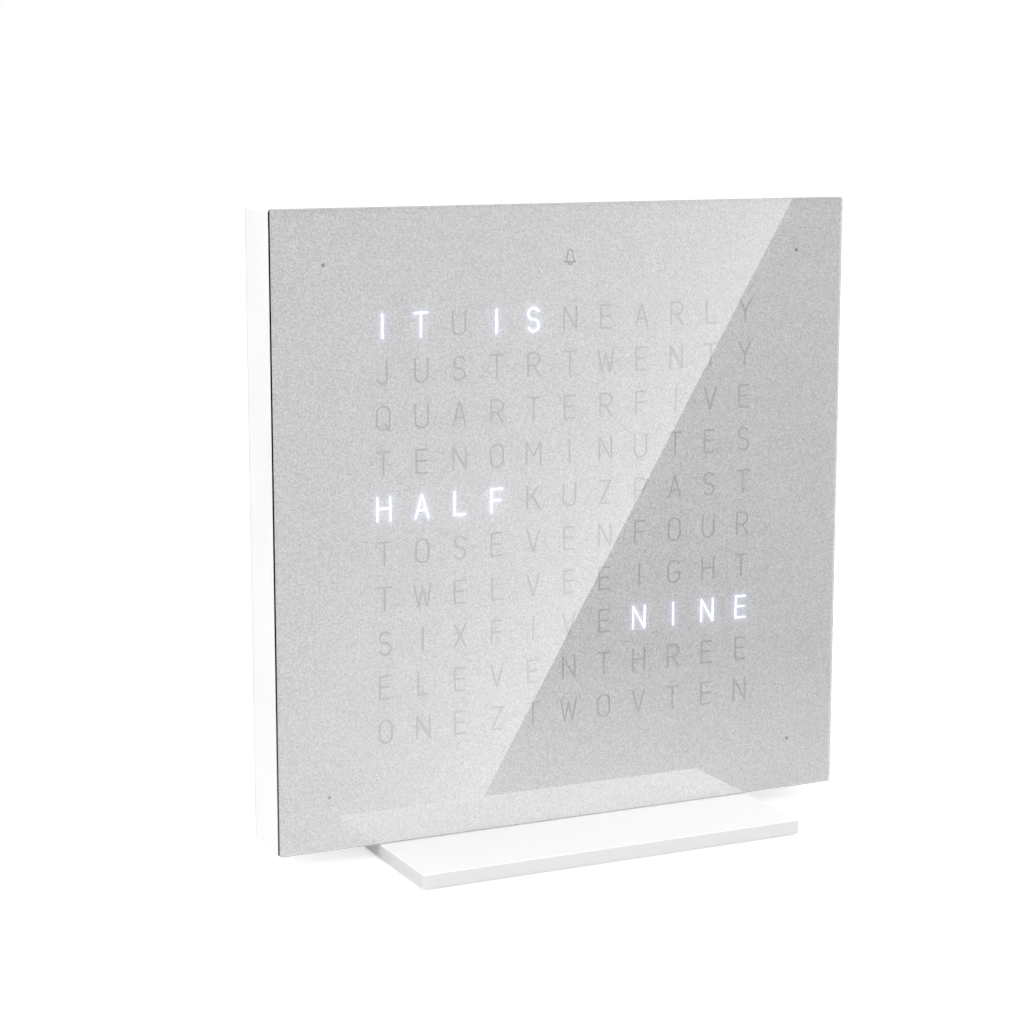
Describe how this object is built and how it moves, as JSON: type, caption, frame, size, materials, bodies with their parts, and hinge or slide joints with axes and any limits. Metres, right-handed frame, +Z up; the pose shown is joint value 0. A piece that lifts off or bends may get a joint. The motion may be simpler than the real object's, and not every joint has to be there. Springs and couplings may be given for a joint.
{
  "type": "word clock",
  "caption": "Square table clock with a glass front that tells the time in lit words from a grid of cut-out letters; slim case upright on a flat metal plate.",
  "frame": {"origin": "on the surface the clock stands on, under the middle of the base plate", "axes": "+X to the reader's right, +Y back from the reader through the panel, +Z up; the glass front faces -Y"},
  "size_m": [0.135, 0.065, 0.1384],
  "materials": {
    "clear_glass": "polished float glass with ground edges",
    "silver_foil": "silver-grey screen-printed film, satin with a fine metallic grain",
    "white_case": "white moulded plastic, smooth satin",
    "white_cover": "white moulded plastic, fine satin",
    "white_plate": "white powder coat on steel plate, smooth",
    "opal_diffuser": "opal light-spreading sheet",
    "black_grid": "black moulded plastic",
    "circuit_board": "green solder mask on fibreglass board",
    "lamp_plastic": "lamp packages with pale yellow phosphor",
    "zinc_steel": "zinc-plated steel",
    "spring_steel": "plated spring steel",
    "drawn_steel": "bright nickel-plated steel shell",
    "black_plastic": "black moulded plastic",
    "black_package": "black moulded chip package",
    "can_aluminium": "drawn aluminium cans",
    "grey_rubber": "soft grey rubber",
    "button_grey": "light grey moulded plastic, satin"
  },
  "bodies": {
    "clock": {"base_plate": "white_plate", "base_pads": "grey_rubber", "base_screws": "zinc_steel", "stand_block": "zinc_steel", "case_frame": "white_case", "front_glass": "clear_glass", "letter_foil": "silver_foil", "diffuser_sheet": "opal_diffuser", "light_grid": "black_grid", "led_board": "circuit_board", "letter_leds": "lamp_plastic", "dot_leds": "lamp_plastic", "board_screws": "zinc_steel", "rear_cover": "white_cover", "cover_screws": "zinc_steel", "microcontroller": "black_package", "led_drivers": "black_package", "clock_crystal": "drawn_steel", "voltage_regulator": "black_package", "capacitors": "can_aluminium", "battery_holder": "black_plastic", "coin_cell": "drawn_steel", "battery_clip": "spring_steel", "alarm_buzzer": "black_plastic", "power_socket_shell": "drawn_steel", "power_socket_insert": "black_plastic", "switch_bodies": "black_plastic"},
    "button_1": {"setting_button_1": "button_grey", "switch_plunger_1": "black_plastic"},
    "button_2": {"setting_button_2": "button_grey", "switch_plunger_2": "black_plastic"},
    "button_3": {"setting_button_3": "button_grey", "switch_plunger_3": "black_plastic"},
    "button_4": {"setting_button_4": "button_grey", "switch_plunger_4": "black_plastic"}
  },
  "joints": [
    {"name": "button_1_press", "type": "slide", "parent": "clock", "child": "button_1", "axis": [0, -1, 0], "range_m": [0, 0.0005], "stiffness_N_per_m": 400},
    {"name": "button_2_press", "type": "slide", "parent": "clock", "child": "button_2", "axis": [0, -1, 0], "range_m": [0, 0.0005], "stiffness_N_per_m": 400},
    {"name": "button_3_press", "type": "slide", "parent": "clock", "child": "button_3", "axis": [0, -1, 0], "range_m": [0, 0.0005], "stiffness_N_per_m": 400},
    {"name": "button_4_press", "type": "slide", "parent": "clock", "child": "button_4", "axis": [0, -1, 0], "range_m": [0, 0.0005], "stiffness_N_per_m": 400}
  ]
}
